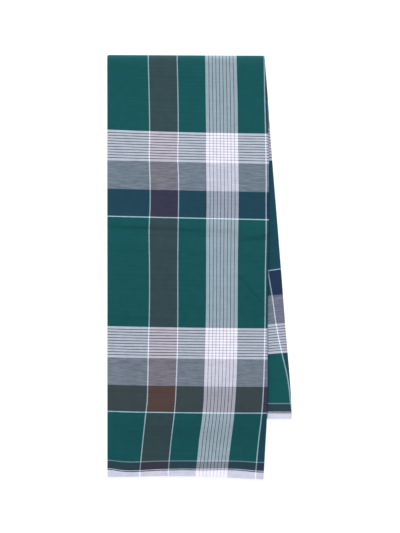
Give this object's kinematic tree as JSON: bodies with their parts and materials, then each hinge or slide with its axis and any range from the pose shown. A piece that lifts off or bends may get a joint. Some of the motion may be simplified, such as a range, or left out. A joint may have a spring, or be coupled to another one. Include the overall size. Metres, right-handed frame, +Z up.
{
  "type": "folded lungi",
  "caption": "Checked cotton lungi, folded lengthwise into a strip and doubled over, lying flat with its back leg swung out to the right.",
  "frame": {"origin": "centre of the bounding box, on the surface the cloth lies on", "axes": "+Z up from the surface, +Y along the front leg towards the crosswise fold, +X to the right, the side the back leg swings out to"},
  "size_m": [0.2782, 0.6386, 0.013],
  "materials": {
    "checked_cotton": "matte plain weave, yarn-dyed check in green, brown, navy and white",
    "hidden_cotton": "matte plain weave, ply edges of the same cloth"
  },
  "bodies": {
    "root": {"front_stretch": "checked_cotton", "back_stretch": "checked_cotton", "hidden_layers": "hidden_cotton"}
  },
  "joints": []
}
